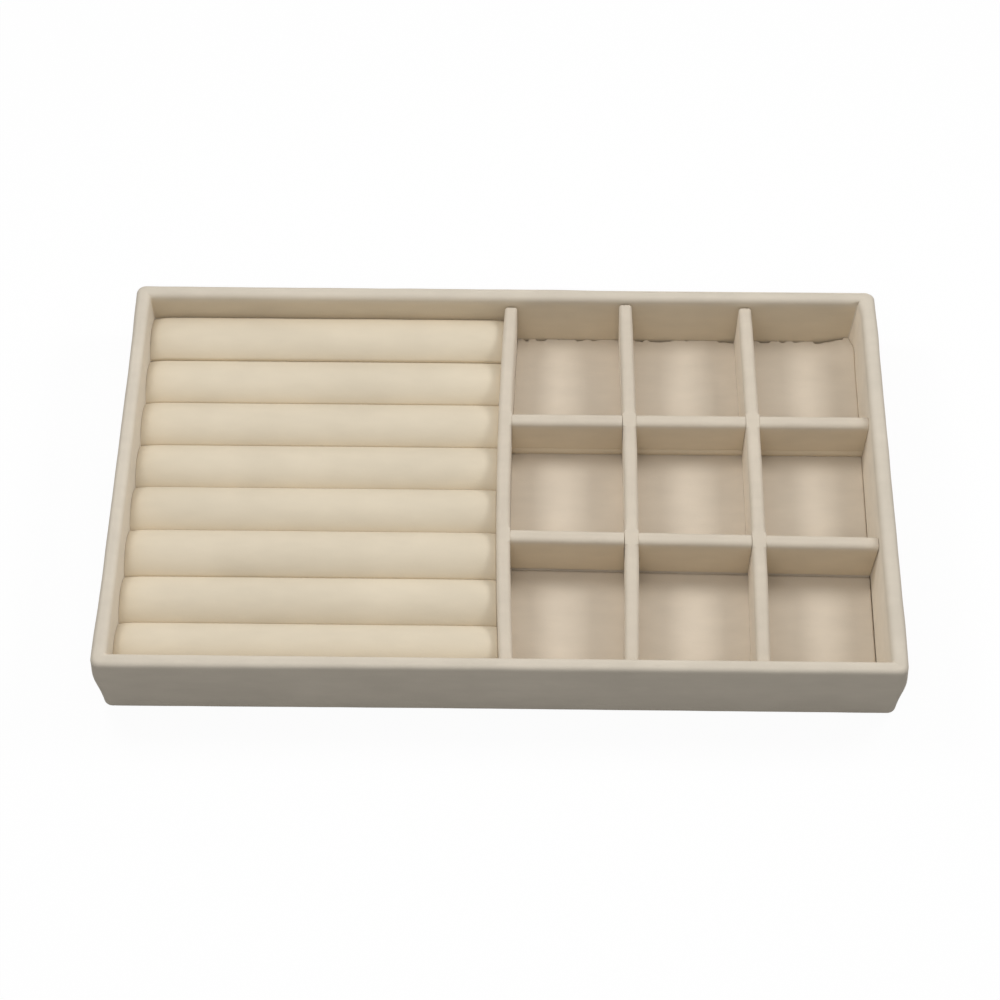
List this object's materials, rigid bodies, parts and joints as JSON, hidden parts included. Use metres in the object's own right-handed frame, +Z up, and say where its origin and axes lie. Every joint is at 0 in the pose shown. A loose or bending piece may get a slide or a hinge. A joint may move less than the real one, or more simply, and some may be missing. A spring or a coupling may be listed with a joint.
{
  "type": "jewelry tray",
  "caption": "Shallow velvet-covered jewelry tray with padded ring rolls on one side and a grid of open compartments on the other.",
  "frame": {"origin": "middle of the underside, on the surface that the tray stands on", "axes": "+X to the right, towards the compartments; +Y to the back; +Z up"},
  "size_m": [0.3, 0.175, 0.034],
  "materials": {
    "velvet": "velvet",
    "roll_velvet": "velvet",
    "pad_velvet": "velvet",
    "backing": "matt",
    "card": "matt",
    "fibreboard": "raw",
    "foam": "open-cell foam"
  },
  "bodies": {
    "root": {"back_wall_board": "fibreboard", "base_board": "fibreboard", "cross_divider_back_board": "fibreboard", "cross_divider_back_sleeve": "velvet", "cross_divider_front_board": "fibreboard", "cross_divider_front_sleeve": "velvet", "floor_pad_card": "card", "floor_pad_velvet": "pad_velvet", "front_wall_board": "fibreboard", "left_wall_board": "fibreboard", "long_divider_left_board": "fibreboard", "long_divider_left_sleeve": "velvet", "long_divider_right_board": "fibreboard", "long_divider_right_sleeve": "velvet", "partition_board": "fibreboard", "partition_sleeve": "velvet", "right_wall_board": "fibreboard", "ring_bed_card": "card", "ring_roll_cover_1": "roll_velvet", "ring_roll_cover_2": "roll_velvet", "ring_roll_cover_3": "roll_velvet", "ring_roll_cover_4": "roll_velvet", "ring_roll_cover_5": "roll_velvet", "ring_roll_cover_6": "roll_velvet", "ring_roll_cover_7": "roll_velvet", "ring_roll_cover_8": "roll_velvet", "ring_roll_foam_1": "foam", "ring_roll_foam_2": "foam", "ring_roll_foam_3": "foam", "ring_roll_foam_4": "foam", "ring_roll_foam_5": "foam", "ring_roll_foam_6": "foam", "ring_roll_foam_7": "foam", "ring_roll_foam_8": "foam", "underside_sheet": "backing", "wall_wrap": "velvet"}
  },
  "joints": []
}
